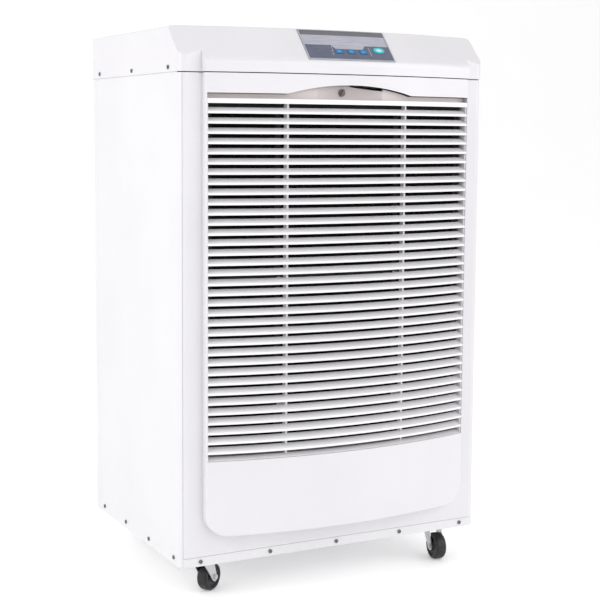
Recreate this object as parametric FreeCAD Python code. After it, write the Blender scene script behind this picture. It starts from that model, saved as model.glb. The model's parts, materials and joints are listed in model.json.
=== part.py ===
import FreeCAD, Part
import math
import os

from FreeCAD import Vector

# A commercial dehumidifier on four swivel casters. Millimetres, +Z up, -Y is the front.
# The origin is the centre of the whole footprint, at floor level.

# ---------------------------------------------------------------- driving dimensions
CABINET_WIDTH = 605.0
CABINET_DEPTH = 440.0          # flat front margin to rear panel
SEAM_HEIGHT = 846.0            # base underside to the seam under the cap
CAP_TOP_HEIGHT = 925.0         # base underside to the top of the cap
CASTER_HEIGHT = 66.0           # floor to base underside
BULGE_DEPTH = 50.0             # crown of the bowed shield in front of the margin
BULGE_RADIUS = 984.0           # plan radius of the bowed shield
SHIELD_HALF_WIDTH = 262.5
SHIELD_BOTTOM = 53.0
SHIELD_CORNER_RADIUS = 40.0
CAP_OVERHANG = 1.5
SPIGOT_LENGTH = 22.0

FRONT_CORNER_RADIUS = 13.0
REAR_CORNER_RADIUS = 5.0
SHEET = 1.2                    # steel panels
MOULDING = 2.5                 # plastic front and grille
CAP_WALL = 3.0
SEAM_GAP = 1.6
EDGE_SOFTNESS = 4.0            # rounding of the shield's outer edges

GRILLE_BOTTOM = 186.0
GRILLE_OPENING_TOP = 812.0
ARCH_HALF_WIDTH = 122.5
ARCH_RISE = 16.0
BLADE_COUNT = 35
BLADE_PITCH = 17.04
FIRST_BLADE_HEIGHT = 777.7     # lower lip of the top blade
HEAD_LIP_FOOT, HEAD_LIP_TOP = 794.8, 803.0
HEAD_RAIL_SET = 12.0           # rail above the lip, behind the shield's face
MULLION_X, MULLION_HALF = 117.3, 1.75
MULLION_FRONT, MULLION_REAR = 12.5, 24.0   # set back behind the blades' slopes
FILTER_TABS = (4, 17, 30)      # blades that hide a tab from each mullion to the filter frame

CATCH_X, CATCH_HEIGHT = -8.0, 815.5
CATCH_SHANK, CATCH_RADIUS = 2.5, 6.2
CATCH_SEAT = -21.0             # depth of the knob's rear face, just clear of the scoop
POCKET_RADIUS = 140.5          # plan radius of the finger scoop
POCKET_DEPTH = 30.0            # from the shield's crown to the scoop's back
# (X, height) corners of the wedge that opens above the scoop's right half
SCOOP_RELIEF = ((6, 826.0), (66, 819.0), (66, 832.0), (6, 832.0))
GRILLE_HALF = SHIELD_HALF_WIDTH - MOULDING - 0.4
GRILLE_SET = 0.5               # lips behind the shield's face
BLADE_DEPTH = 13.5
GRILLE_HALF_ANGLE = 16.2       # the grille's parts are swept this far each way, then trimmed
FILTER_FRONT, FILTER_REAR = 4.0, 12.0
FILTER_HALF_WIDTH, FILTER_BOTTOM, FILTER_TOP, FILTER_BORDER = 254.0, 197.0, 796.0, 10.0
NET_FRONT, NET_REAR, NET_GRIP = 7.4, 8.6, 2.0   # the net runs this far into the frame's groove

SLOPE_FOOT_HEIGHT = 869.5      # where the cap's sloped face would meet its upright face
SLOPE_ROUNDING = 20.0
PANEL_HALF_WIDTH = 85.5
PANEL_FOOT, PANEL_HEAD = 1.0, 72.0   # up the slope from its foot
PANEL_STAND = 1.2              # bezel proud of the slope
FASCIA_STAND = 0.7
KEY_SIZE = (15.0, 10.0)
KEY_CLEARANCE = 0.3
KEYS = {"key_left": -22.0, "key_middle": 2.0, "key_right": 26.0}
KEY_UP = 21.5
POWER_X, POWER_UP = 59.5, 26.5
POWER_SIZE = (23.0, 13.0)
FLANGE_TOP = -1.8              # retaining flanges sit just behind the fascia
PANEL_REBATE = -1.5
WINDOW_HALF_WIDTH, BOARD_HALF_WIDTH, POST_X = 74.0, 84.0, 80.0
BOARD_BACK, BOARD_FACE = -7.0, -5.3

FRONT_PANEL_BOTTOM = 16.6
REAR_SPLIT_DEPTH = 414.0       # where the rear panel's wrapped edge meets the side panel
CORNER_SPLIT = 4.5             # side panel and front panel meet this far round the corner
PANEL_PLAY = 0.4               # between neighbouring cabinet panels
PAN_SHEET = 1.5
PAN_RIM = 22.0
FLANGE_SET = 0.2               # the pan's front flange behind the margin
BOSS_RADIUS, BOSS_HEIGHT = 88.0, 5.0
MOUNT_BOLT = 2.9               # compressor mounting bolts
SCREW_SHANK, SCREW_HEAD, SCREW_HEAD_HEIGHT = 1.9, 3.6, 1.6
FLANGE_SCREWS, FLANGE_SCREW_MARGIN, FLANGE_SCREW_PITCH = 5, 36.3, 133.9
SIDE_SCREW_DEPTHS, SIDE_SCREW_HEIGHT = (33, 152, 271, 390), 12
CAP_SCREW_DEPTHS, CAP_SCREW_HEIGHT = (48, 222, 395), 855
REAR_SCREW_HEIGHTS, REAR_SCREW_X = (70, 330, 590, 820), 285

FAN_HEIGHT = 585.0
FAN_RADIUS = 172.0
OUTLET_RADIUS = 186.0
GUARD_WIRE, GUARD_RING_PITCH, GUARD_STAND = 1.5, 15, 3.2
SPIGOT_X, SPIGOT_HEIGHT, SPIGOT_RADIUS = -230.0, 42.0, 8.0
SPIGOT_COLLAR, SPIGOT_FLANGE, SPIGOT_BORE, SPIGOT_TAPER = 9.5, 13.0, 5.0, 4.0
GLAND_X, GLAND_HEIGHT, GLAND_THREAD, GLAND_BORE = 215.0, 110.0, 8.0, 4.5

COIL_HALF_WIDTH = 240.0
COIL_BOTTOM, COIL_TOP = 200.0, 800.0
EVAPORATOR_DEPTH, CONDENSER_DEPTH = 45.0, 97.0
TUBE_RADIUS = 4.8
TUBE_PASSES = 11
TUBE_PITCH = 54.0
FIRST_TUBE = 230.0
FIN_SHEET, FIN_PITCH, FINS_EACH_WAY = 1.0, 12.0, 19
COIL_HALF_DEPTH = 20.0
END_PLATE_FRONT, END_PLATE_REAR = 21.0, 121.0
TRAY_HALF_WIDTH, TRAY_FRONT, TRAY_REAR, TRAY_WALL = 284.0, 17.0, 127.0, 2.0
TRAY_BOTTOM, TRAY_FLOOR, TRAY_RIM = 160.0, 162.0, 190.0
TRAY_LEGS = (-204, 210)        # X of each leg's left face
DRAIN_HEIGHT = 168.0
HOSE_RADIUS, HOSE_BORE = 8.6, 6.45
DRIER_X = 288.0
SHELF_HEIGHT = 332.0
BULKHEAD_DEPTH = 250.0

COMPRESSOR_X, COMPRESSOR_DEPTH, COMPRESSOR_RADIUS = 20.0, 315.0, 62.0
COMPRESSOR_BOTTOM, COMPRESSOR_TOP = 30.0, 246.0
FOOT_CIRCLE, FOOT_BOTTOM, FOOT_TOP = 74.0, 21.0, 24.5
FOOT_ANGLES = (90, 210, 330)
ACCUMULATOR_X, ACCUMULATOR_DEPTH = -75.0, 315.0

WHEEL_RADIUS = 25.0
WHEEL_WIDTH = 21.0
CASTER_TRAIL = 20.0
FORK_SHEET = 2.0
AXLE_RADIUS = 3.0
KINGPIN_RADIUS, KINGPIN_HEAD = 3.5, 6.5
RUNNING_CLEARANCE = 0.05
CASTER_PLATE = 46.0
CASTER_BOLT = 2.5
RACE_DEPTH = 5.0
FORK_TOP = 58.2
FORK_GAP = 23.0
# name: (X, depth behind the margin, direction in which the wheel trails at rest, degrees)
CASTERS = {
    "front_left": (-241.0, 50.0, 33.0),
    "front_right": (241.0, 50.0, -97.0),
    "rear_left": (-196.0, 386.0, 62.0),
    "rear_right": (196.0, 386.0, 105.0),
}

HALF_WIDTH = CABINET_WIDTH / 2
OVERALL_DEPTH = BULGE_DEPTH + CAP_OVERHANG + CABINET_DEPTH + SPIGOT_LENGTH
FRONT_Y = BULGE_DEPTH + CAP_OVERHANG - OVERALL_DEPTH / 2
SLOPE_ANGLE = math.atan2(CAP_TOP_HEIGHT - SLOPE_FOOT_HEIGHT, BULGE_DEPTH)
PANEL_TOP = SEAM_HEIGHT - SEAM_GAP / 2
CAP_BOTTOM = SEAM_HEIGHT + SEAM_GAP / 2

EX = Vector(1, 0, 0)
EY = Vector(0, 1, 0)
EZ = Vector(0, 0, 1)


def fy(depth):
    """Y of a plane that lies this far behind the flat front margin."""
    return FRONT_Y + depth


def bz(height):
    """Z of a plane that lies this far above the underside of the base."""
    return CASTER_HEIGHT + height


BULGE_AXIS = Vector(0, fy(BULGE_RADIUS - BULGE_DEPTH), 0)


# ---------------------------------------------------------------- shape helpers
def block(x0, x1, d0, d1, h0, h1):
    """Box between two X values, two depths behind the margin and two heights above the base."""
    return Part.makeBox(x1 - x0, d1 - d0, h1 - h0, Vector(x0, fy(d0), bz(h0)))


def rod(radius, start, end):
    """Solid cylinder between two points."""
    along = end - start
    return Part.makeCylinder(radius, along.Length, start, along)


def at(x, depth, height):
    """Point from X, depth behind the margin and height above the base."""
    return Vector(x, fy(depth), bz(height))


def upright(radius, x, depth, h0, h1):
    """Vertical cylinder."""
    return rod(radius, at(x, depth, h0), at(x, depth, h1))


def rounded_edges(points, radii, closed):
    """Straight and arc edges through corner points, each corner rounded by its own radius."""
    count = len(points)
    turns = []
    for i, corner in enumerate(points):
        ends_here = not closed and i in (0, count - 1)
        if radii[i] == 0 or ends_here:
            turns.append((corner, None, corner))
            continue
        back = (points[i - 1] - corner).normalize()
        ahead = (points[(i + 1) % count] - corner).normalize()
        half = back.getAngle(ahead) / 2
        bisector = (back + ahead).normalize()
        reach = radii[i] / math.tan(half)
        middle = corner + bisector * (radii[i] / math.sin(half) - radii[i])
        turns.append((corner + back * reach, middle, corner + ahead * reach))
    edges = []
    for i, (entry, middle, leave) in enumerate(turns):
        if middle is not None:
            edges.append(Part.Arc(entry, middle, leave).toShape())
        if closed or i < count - 1:
            following = turns[(i + 1) % count][0]
            if (following - leave).Length > 1e-6:
                edges.append(Part.LineSegment(leave, following).toShape())
    return edges


def outline_face(points, radii=None):
    """Flat face inside a closed outline with rounded corners."""
    radii = radii or [0] * len(points)
    return Part.Face(Part.Wire(rounded_edges(points, radii, True)))


def pipe(points, bend_radius, radius, bore=0):
    """Round tube along straight runs joined by tangent arcs."""
    path = Part.Wire(rounded_edges(points, [bend_radius] * len(points), False))
    start_direction = points[1] - points[0]

    def swept_round(r):
        ring = Part.Wire(Part.makeCircle(r, points[0], start_direction))
        return path.makePipeShell([ring], True, False)

    body = swept_round(radius)
    return body.cut(swept_round(bore)) if bore else body


def bowed(section, half_angle=18.0, radii=None):
    """Sweep a section of (depth behind the bowed face, height) points along the shield's arc."""
    points = [at(0, depth - BULGE_DEPTH, height) for depth, height in section]
    face = outline_face(points, radii)
    face.rotate(BULGE_AXIS, EZ, -half_angle)
    return face.revolve(BULGE_AXIS, EZ, 2 * half_angle)


def union(shapes):
    return shapes[0].fuse(shapes[1:]).removeSplitter()


def mirrored_x(shape):
    return shape.mirror(Vector(0, 0, 0), EX)


def hollow_round(outer, inner, start, end):
    return rod(outer, start, end).cut(rod(inner, start, end))


def panel_screw(seat, outward, shank=9.0):
    """Pan-head screw with a cross recess, its head seated at a point and facing outward."""
    head = Part.makeCylinder(SCREW_HEAD, SCREW_HEAD_HEIGHT)
    slots = [Part.makeBox(4.2, 0.9, 0.9, Vector(-2.1, -0.45, 0.8))]
    slots.append(Part.makeBox(0.9, 4.2, 0.9, Vector(-0.45, -2.1, 0.8)))
    screw = head.cut(slots).fuse(Part.makeCylinder(SCREW_SHANK, shank, Vector(0, 0, -shank)))
    screw.Placement = FreeCAD.Placement(seat, FreeCAD.Rotation(EZ, outward))
    return screw


# ---------------------------------------------------------------- cabinet
def cabinet_prism(inset, h0, h1):
    """Solid cabinet outline, moved inward by inset, between two heights."""
    x = HALF_WIDTH - inset
    rear = CABINET_DEPTH - inset
    points = [at(-x, inset, h0), at(x, inset, h0), at(x, rear, h0), at(-x, rear, h0)]
    front_radius = max(FRONT_CORNER_RADIUS - inset, 1.0)
    rear_radius = max(REAR_CORNER_RADIUS - inset, 1.0)
    face = outline_face(points, [front_radius, front_radius, rear_radius, rear_radius])
    return face.extrude(EZ * (h1 - h0))


def cabinet_wall(thickness, h0, h1):
    return cabinet_prism(0, h0, h1).cut(cabinet_prism(thickness, h0, h1))


def screw_seats():
    """Every panel screw as (seat point, outward direction)."""
    seats = []
    for i in range(FLANGE_SCREWS):
        x = -HALF_WIDTH + FLANGE_SCREW_MARGIN + FLANGE_SCREW_PITCH * i
        seats.append((at(x, FLANGE_SET, FRONT_PANEL_BOTTOM / 2), EY * -1))
    for side in (-1, 1):
        for depth in SIDE_SCREW_DEPTHS:
            seats.append((at(side * HALF_WIDTH, depth, SIDE_SCREW_HEIGHT), EX * side))
        for depth in CAP_SCREW_DEPTHS:
            seats.append((at(side * (HALF_WIDTH + CAP_OVERHANG), depth, CAP_SCREW_HEIGHT), EX * side))
        for height in REAR_SCREW_HEIGHTS:
            seats.append((at(side * REAR_SCREW_X, CABINET_DEPTH, height), EY))
    return seats


def screw_holes():
    return [rod(SCREW_SHANK, seat - outward * 10, seat + outward) for seat, outward in screw_seats()]


def panel_screws():
    return Part.makeCompound([panel_screw(seat, outward) for seat, outward in screw_seats()])


def side_panel(side):
    """Sheet side that turns part of the way round the front corner, with a flange along its top."""
    flat = block(HALF_WIDTH - 3, HALF_WIDTH + 1, 8, REAR_SPLIT_DEPTH, 0, PANEL_TOP)
    bend = block(HALF_WIDTH - CORNER_SPLIT, HALF_WIDTH + 1, -1, 12, 0, PANEL_TOP)
    wall = cabinet_wall(SHEET, 0, PANEL_TOP).common(flat.fuse(bend))
    flange = block(HALF_WIDTH - 14, HALF_WIDTH - SHEET, 24, REAR_SPLIT_DEPTH, PANEL_TOP - SHEET, PANEL_TOP)
    panel = union([wall, flange]).cut(screw_holes())
    return panel if side > 0 else mirrored_x(panel)


def rear_panel():
    """Sheet back that wraps round both rear corners, with the round air outlet."""
    keep = block(-HALF_WIDTH - 1, HALF_WIDTH + 1, REAR_SPLIT_DEPTH + 0.4, CABINET_DEPTH + 1, 0, PANEL_TOP)
    holes = [rod(OUTLET_RADIUS, at(0, 400, FAN_HEIGHT), at(0, 450, FAN_HEIGHT))]
    holes.append(rod(SPIGOT_COLLAR, at(SPIGOT_X, 430, SPIGOT_HEIGHT), at(SPIGOT_X, 450, SPIGOT_HEIGHT)))
    holes.append(rod(GLAND_THREAD, at(GLAND_X, 430, GLAND_HEIGHT), at(GLAND_X, 450, GLAND_HEIGHT)))
    return cabinet_wall(SHEET, 0, PANEL_TOP).common(keep).cut(holes + screw_holes())


def base_pan():
    """Folded tray. Its front flange shows below the front panel; the others hide inside the panels."""
    inset = SHEET + PANEL_PLAY
    front_half = HALF_WIDTH - CORNER_SPLIT - PANEL_PLAY
    floor = cabinet_prism(inset, 0, PAN_SHEET)
    rim = cabinet_prism(inset, 0, PAN_RIM).cut(cabinet_prism(inset + PAN_SHEET, 0, PAN_RIM))
    rim = rim.common(block(-HALF_WIDTH, HALF_WIDTH, FRONT_CORNER_RADIUS, CABINET_DEPTH, 0, PAN_RIM))
    flange_top = FRONT_PANEL_BOTTOM - 0.6
    flange = cabinet_prism(FLANGE_SET, 0, flange_top)
    flange = flange.cut(cabinet_prism(FLANGE_SET + PAN_SHEET, 0, flange_top))
    flange = flange.common(block(-front_half, front_half, 0, 6, 0, flange_top))
    fold = block(30 - front_half, front_half - 30, FLANGE_SET, 6, 0, PAN_SHEET)
    boss = upright(BOSS_RADIUS, COMPRESSOR_X, COMPRESSOR_DEPTH, 0, BOSS_HEIGHT)
    hollow = upright(BOSS_RADIUS - PAN_SHEET, COMPRESSOR_X, COMPRESSOR_DEPTH, -1, BOSS_HEIGHT - PAN_SHEET)
    holes = [upright(CASTER_BOLT, x, depth, -1, 5) for x, depth in caster_bolt_places()]
    holes += [upright(MOUNT_BOLT + 0.1, x, depth, -1, 6) for x, depth in compressor_feet()]
    return union([floor, rim, flange, fold, boss]).cut([hollow] + holes + screw_holes())


def top_frame():
    """Angle rails along the panels' top edges. They carry the cap and take its side screws."""
    outer = HALF_WIDTH + CAP_OVERHANG - CAP_WALL - 0.2
    rear = CABINET_DEPTH - SHEET - 0.5
    rails = []
    for side in (-1, 1):
        foot = block(outer - 14, outer - 1, 26, rear - 1, PANEL_TOP, PANEL_TOP + PAN_SHEET)
        web = block(outer - 1 - PAN_SHEET, outer - 1, 26, rear - 1, PANEL_TOP, PANEL_TOP + 22)
        rail = foot.fuse(web)
        rails.append(rail if side > 0 else mirrored_x(rail))
    rails.append(block(3 - outer, outer - 3, rear - PAN_SHEET, rear, PANEL_TOP, PANEL_TOP + 22))
    rails.append(block(16 - outer, outer - 16, rear - PAN_SHEET, rear, PANEL_TOP - 16, PANEL_TOP + 1))
    return union(rails).cut(screw_holes())


# ---------------------------------------------------------------- bowed front
def shield_elevation(inset, top):
    """Front view of the shield, extruded from before the bulge to just behind the margin."""
    x = SHIELD_HALF_WIDTH - inset
    foot = SHIELD_BOTTOM + inset
    points = [at(-x, -60, foot), at(x, -60, foot), at(x, -60, top), at(-x, -60, top)]
    corner = SHIELD_CORNER_RADIUS - inset
    return outline_face(points, [corner, corner, 0, 0]).extrude(EY * 100)


def shield_solid():
    """The raised shield as a full block with softened outer edges."""
    ring = bowed([(0, 0), (60, 0), (60, PANEL_TOP), (0, PANEL_TOP)])
    solid = ring.common(shield_elevation(0, PANEL_TOP))
    soft = []
    for edge in solid.Edges:
        box = edge.BoundBox
        below_seam = box.ZMin < bz(PANEL_TOP) - 1
        at_face = box.YMax < fy(-14) and box.ZMax < bz(PANEL_TOP) + 0.1
        if below_seam and at_face:
            soft.append(edge)
    return solid.makeFillet(EDGE_SOFTNESS, soft).common(block(-300, 300, -60, MOULDING, 0, 900))


def arch_prism(half_width, foot, top, rise, d0, d1):
    """Wide rectangle from foot to top with a low arch on it, extruded between two depths."""
    wide = SHIELD_HALF_WIDTH + 5
    left, crown, right = at(-half_width, d0, top), at(0, d0, top + rise), at(half_width, d0, top)
    corners = [left, at(-wide, d0, top), at(-wide, d0, foot), at(wide, d0, foot), at(wide, d0, top), right]
    edges = [Part.LineSegment(a, b).toShape() for a, b in zip(corners, corners[1:])]
    edges.append(Part.Arc(right, crown, left).toShape())
    return Part.Face(Part.Wire(edges)).extrude(EY * (d1 - d0))


def front_panel():
    """Moulded front: flat margin, wrapped corners, bowed shield, grille opening and its latch rib."""
    margin = cabinet_wall(MOULDING, FRONT_PANEL_BOTTOM, PANEL_TOP)
    half = HALF_WIDTH - CORNER_SPLIT - 0.4
    margin = margin.common(block(-half, half, -1, 20, 0, 900))
    returns = [block(half - MOULDING, half, MOULDING - 0.5, 20, FRONT_PANEL_BOTTOM, PANEL_TOP)]
    returns.append(mirrored_x(returns[0]))
    ceiling = PANEL_TOP - 3.2
    hollow = bowed([(MOULDING, 0), (65, 0), (65, ceiling), (MOULDING, ceiling)])
    hollow = hollow.common(shield_elevation(MOULDING, ceiling)).common(block(-300, 300, -60, 12, 0, 900))
    opening = arch_prism(ARCH_HALF_WIDTH, GRILLE_BOTTOM, GRILLE_OPENING_TOP, ARCH_RISE, -60, 8)
    inside = SHIELD_HALF_WIDTH - MOULDING
    opening = opening.common(block(-inside, inside, -60, 8, 0, 900))
    shell = union([margin, shield_solid()] + returns).cut([hollow, opening])
    latch_hole = rod(CATCH_SHANK + 0.9, at(CATCH_X, -20, CATCH_HEIGHT), at(CATCH_X, 0, CATCH_HEIGHT))
    latch_rib = block(-30, 14, -12, -9.5, 806, ceiling + 0.5).cut(latch_hole)
    latch_foot = block(-30, 14, -30, -9.5, ceiling - 2.5, ceiling + 0.5)
    return union([shell, latch_rib, latch_foot])


def louvre(foot):
    """One blade: a narrow upright lip in front and a slope that rises behind it."""
    front, rear = GRILLE_SET, BLADE_DEPTH
    section = [(front + 0.4, foot), (front, foot + 0.4), (front, foot + 3.4), (front + 0.7, foot + 4.1),
               (rear, foot + 10.5), (rear, foot + 8.3), (front + 2.0, foot + 2.6), (front + 2.0, foot)]
    return bowed(section, GRILLE_HALF_ANGLE)


def scoop(radius, h0, h1):
    return upright(radius, 0, POCKET_DEPTH - BULGE_DEPTH - POCKET_RADIUS, h0, h1)


def grille_head():
    """Top rail: an upright lip, a deep-set rail above it and the arched finger scoop."""
    front, rail_front, rail_rear = GRILLE_SET, HEAD_RAIL_SET, HEAD_RAIL_SET + MOULDING
    foot, top = HEAD_LIP_FOOT, HEAD_LIP_TOP
    shelf = top - MOULDING
    lip = bowed([(front + 0.4, foot), (front, foot + 0.4), (front, top - 0.8), (front + 0.8, top),
                 (rail_rear, top), (rail_rear, shelf), (3, shelf), (3, foot)], GRILLE_HALF_ANGLE)
    rail = bowed([(rail_front, shelf), (rail_front, 830), (rail_rear, 830), (rail_rear, shelf)],
                 GRILLE_HALF_ANGLE)
    rail = rail.cut(scoop(POCKET_RADIUS, top, 831))
    behind_lip = bowed([(3, 790), (60, 790), (60, 840), (3, 840)], GRILLE_HALF_ANGLE)
    behind_rail = bowed([(rail_front, 790), (60, 790), (60, 840), (rail_front, 840)], GRILLE_HALF_ANGLE)
    floor = scoop(POCKET_RADIUS + MOULDING, shelf, top).common(behind_lip)
    back = scoop(POCKET_RADIUS + MOULDING, top, 830).cut(scoop(POCKET_RADIUS, top, 830)).common(behind_rail)
    limit = arch_prism(ARCH_HALF_WIDTH - 0.6, 700, GRILLE_OPENING_TOP - 1.0, ARCH_RISE, -60, 20)
    head = union([lip, rail, floor, back]).common(limit)
    relief = outline_face([at(x, -60, height) for x, height in SCOOP_RELIEF]).extrude(EY * 80)
    shank_hole = rod(CATCH_SHANK + RUNNING_CLEARANCE, at(CATCH_X, -40, CATCH_HEIGHT),
                     at(CATCH_X, 0, CATCH_HEIGHT))
    return head.cut([relief, shank_hole])


def intake_grille():
    """Bowed louvre grille with end ribs, two set-back mullions, bottom rail, hooks and filter rails."""
    parts = [louvre(FIRST_BLADE_HEIGHT - BLADE_PITCH * i) for i in range(BLADE_COUNT)]
    parts.append(bowed([(0.8, GRILLE_BOTTOM + 0.6), (13.5, 191.7), (15, 191.7), (15, 181), (3.4, 181),
                        (3.4, GRILLE_BOTTOM + 0.6)], GRILLE_HALF_ANGLE))
    rib_foot, rib_top = GRILLE_BOTTOM - 5, HEAD_LIP_TOP - 2
    behind = bowed([(3, 170), (80, 170), (80, rib_top), (3, rib_top)], GRILLE_HALF_ANGLE)
    mullion_zone = bowed([(MULLION_FRONT, rib_foot), (MULLION_REAR, rib_foot),
                          (MULLION_REAR, rib_top), (MULLION_FRONT, rib_top)], GRILLE_HALF_ANGLE)
    ribs = [block(x - 1, x + 1, -60, 4, rib_foot, rib_top).common(behind)
            for x in (1 - GRILLE_HALF, GRILLE_HALF - 1)]
    ribs += [block(x - MULLION_HALF, x + MULLION_HALF, -60, 4, rib_foot, rib_top).common(mullion_zone)
             for x in (-MULLION_X, MULLION_X)]
    for foot in [FIRST_BLADE_HEIGHT - BLADE_PITCH * i for i in FILTER_TABS]:
        ribs += [block(x - MULLION_HALF, x + MULLION_HALF, -22, FILTER_FRONT, foot + 2.5, foot + 9)
                 for x in (-MULLION_X, MULLION_X)]
    hook_zone = bowed([(3.4, 172), (5.9, 172), (5.9, 182), (3.4, 182)], GRILLE_HALF_ANGLE)
    hooks = [block(x - 10, x + 10, -60, 0, 170, 190).common(hook_zone) for x in (-60, 60)]
    width = block(-GRILLE_HALF, GRILLE_HALF, -60, 20, 160, 840)
    return union(parts + ribs + hooks + [grille_head()]).common(width)


def grille_catch():
    """Captive turn knob that locks the grille to the front panel's rib: a disc with a raised grip bar."""
    def piece(radius, d0, d1):
        return rod(radius, at(CATCH_X, d0, CATCH_HEIGHT), at(CATCH_X, d1, CATCH_HEIGHT))

    disc = piece(CATCH_RADIUS, CATCH_SEAT - 1.8, CATCH_SEAT)
    grip = block(CATCH_X - 1.5, CATCH_X + 1.5, CATCH_SEAT - 4.6, CATCH_SEAT - 1.6,
                 CATCH_HEIGHT - CATCH_RADIUS, CATCH_HEIGHT + CATCH_RADIUS)
    grip.rotate(at(CATCH_X, 0, CATCH_HEIGHT), EY, 24)
    shank = piece(CATCH_SHANK, CATCH_SEAT - 0.6, -6)
    return union([disc, grip.common(piece(CATCH_RADIUS, -40, 0)), shank])


def filter_frame():
    """Flat frame with two upright bars and a cross bar, clipped behind the grille."""
    frame = block(-FILTER_HALF_WIDTH, FILTER_HALF_WIDTH, FILTER_FRONT, FILTER_REAR, FILTER_BOTTOM, FILTER_TOP)
    edge = FILTER_HALF_WIDTH - FILTER_BORDER
    windows = []
    for x0, x1 in ((-edge, -124), (-114, 114), (124, edge)):
        windows.append(block(x0, x1, 3, 13, FILTER_BOTTOM + FILTER_BORDER, 492))
        windows.append(block(x0, x1, 3, 13, 500, FILTER_TOP - FILTER_BORDER))
    return frame.cut(windows + [filter_mesh()])


def filter_mesh():
    reach = FILTER_BORDER - NET_GRIP
    x = FILTER_HALF_WIDTH - reach
    return block(-x, x, NET_FRONT, NET_REAR, FILTER_BOTTOM + reach, FILTER_TOP - reach)


# ---------------------------------------------------------------- cap and control panel
def slope_point(up, out):
    """Centreline point of the cap's sloped face: distance up from its foot and out along its normal."""
    depth = -BULGE_DEPTH + up * math.cos(SLOPE_ANGLE) - out * math.sin(SLOPE_ANGLE)
    height = SLOPE_FOOT_HEIGHT + up * math.sin(SLOPE_ANGLE) + out * math.cos(SLOPE_ANGLE)
    return at(0, depth, height)


def on_slope(s0, s1, n0, n1, half_width):
    """Slab that follows the sloped bowed face between two distances up it and two along its normal."""
    points = [slope_point(s0, n0), slope_point(s1, n0), slope_point(s1, n1), slope_point(s0, n1)]
    face = outline_face(points)
    face.rotate(BULGE_AXIS, EZ, -8)
    band = face.revolve(BULGE_AXIS, EZ, 16)
    return band.common(block(-half_width, half_width, -80, 60, 800, 960))


def cap_bottom(inset):
    """The hollow runs on below the cap's rim so that it cuts the cap open."""
    return CAP_BOTTOM - (5 if inset else 0)


def cap_profile(inset, rear_depth):
    """Closed centreline section of the cap, moved inward by inset."""
    c, s = math.cos(SLOPE_ANGLE), math.sin(SLOPE_ANGLE)
    front = -BULGE_DEPTH - CAP_OVERHANG + inset
    top = CAP_TOP_HEIGHT - inset
    slope_depth = -BULGE_DEPTH + inset * s
    slope_height = SLOPE_FOOT_HEIGHT - inset * c
    foot_height = slope_height + (front - slope_depth) * s / c
    crest_depth = slope_depth + (top - slope_height) * c / s
    bottom = cap_bottom(inset)
    points = [at(0, front, bottom), at(0, front, foot_height), at(0, crest_depth, top),
              at(0, rear_depth, top), at(0, rear_depth, bottom)]
    return outline_face(points, [0, SLOPE_ROUNDING - inset, 5.0, 0, 0])


def cap_plan(inset):
    """Plan outline of the cap: the cabinet's outline with the shield's width standing out in front."""
    grow = CAP_OVERHANG - inset
    x, front, rear = HALF_WIDTH + grow, -grow, CABINET_DEPTH + grow
    corner, rear_corner = FRONT_CORNER_RADIUS + grow, REAR_CORNER_RADIUS + grow
    points = [at(-x, front, 830), at(x, front, 830), at(x, rear, 830), at(-x, rear, 830)]
    slab = outline_face(points, [corner, corner, rear_corner, rear_corner]).extrude(EZ * 110)
    shield = SHIELD_HALF_WIDTH + grow
    return slab.fuse(block(-shield, shield, -70, 60, 830, 940))


def cap_side_view(inset):
    """Front view of the cap with softened upper edges."""
    x = HALF_WIDTH + CAP_OVERHANG - inset
    top = CAP_TOP_HEIGHT - inset
    points = [at(-x, -70, 820), at(x, -70, 820), at(x, -70, top), at(-x, -70, top)]
    return outline_face(points, [0, 0, 7, 7]).extrude(EY * 560)


def cap_block(inset):
    face = cap_profile(inset, 300)
    face.rotate(BULGE_AXIS, EZ, -28)
    front = face.revolve(BULGE_AXIS, EZ, 56)
    bottom = cap_bottom(inset)
    rear = block(-HALF_WIDTH - 9, HALF_WIDTH + 9, 240, CABINET_DEPTH + 9, bottom, CAP_TOP_HEIGHT - inset)
    return front.fuse(rear).removeSplitter().common(cap_plan(inset)).common(cap_side_view(inset))


def top_cap():
    """Moulded cap shell with the control panel's rebate, its through opening and the board's posts."""
    shell = cap_block(0).cut(cap_block(CAP_WALL))
    gap = 0.3
    rebate = on_slope(PANEL_FOOT - gap, PANEL_HEAD + gap, PANEL_REBATE, 12, PANEL_HALF_WIDTH + gap)
    window = on_slope(8, 66, -9, 3, WINDOW_HALF_WIDTH)
    posts = []
    for x in (-POST_X, POST_X):
        for up in (12, 60):
            post = rod(2.2, slope_point(up, BOARD_FACE + 0.1), slope_point(up, -2.4))
            post.translate(EX * x)
            post.translate(EY * (BULGE_RADIUS - math.sqrt(BULGE_RADIUS ** 2 - x * x)))
            posts.append(post)
    return shell.cut([rebate, window]).fuse(posts).removeSplitter().cut(screw_holes())


def turned(shape, x, up):
    """Move a shape from the slope's centreline to X, keeping it square to the bowed face."""
    radius = BULGE_RADIUS - up * math.cos(SLOPE_ANGLE)
    placed = shape.copy()
    placed.rotate(BULGE_AXIS, EZ, math.degrees(math.asin(x / radius)))
    return placed


def upright_on_slope(shape, up):
    """Place a shape drawn flat (X across, Y up the slope, Z outward) at a distance up the slope."""
    placed = shape.copy()
    tilt = FreeCAD.Rotation(EX, math.degrees(SLOPE_ANGLE))
    placed.Placement = FreeCAD.Placement(slope_point(up, 0), tilt).multiply(placed.Placement)
    return placed


def rounded_slab(width, height, corner, n0, n1):
    x, y = width / 2, height / 2
    points = [Vector(-x, -y, n0), Vector(x, -y, n0), Vector(x, y, n0), Vector(-x, y, n0)]
    return outline_face(points, [corner] * 4).extrude(EZ * (n1 - n0))


def oval_slab(width, height, n0, n1):
    ellipse = Part.Ellipse(Vector(0, 0, n0), width / 2, height / 2)
    return Part.Face(Part.Wire(ellipse.toShape())).extrude(EZ * (n1 - n0))


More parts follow.
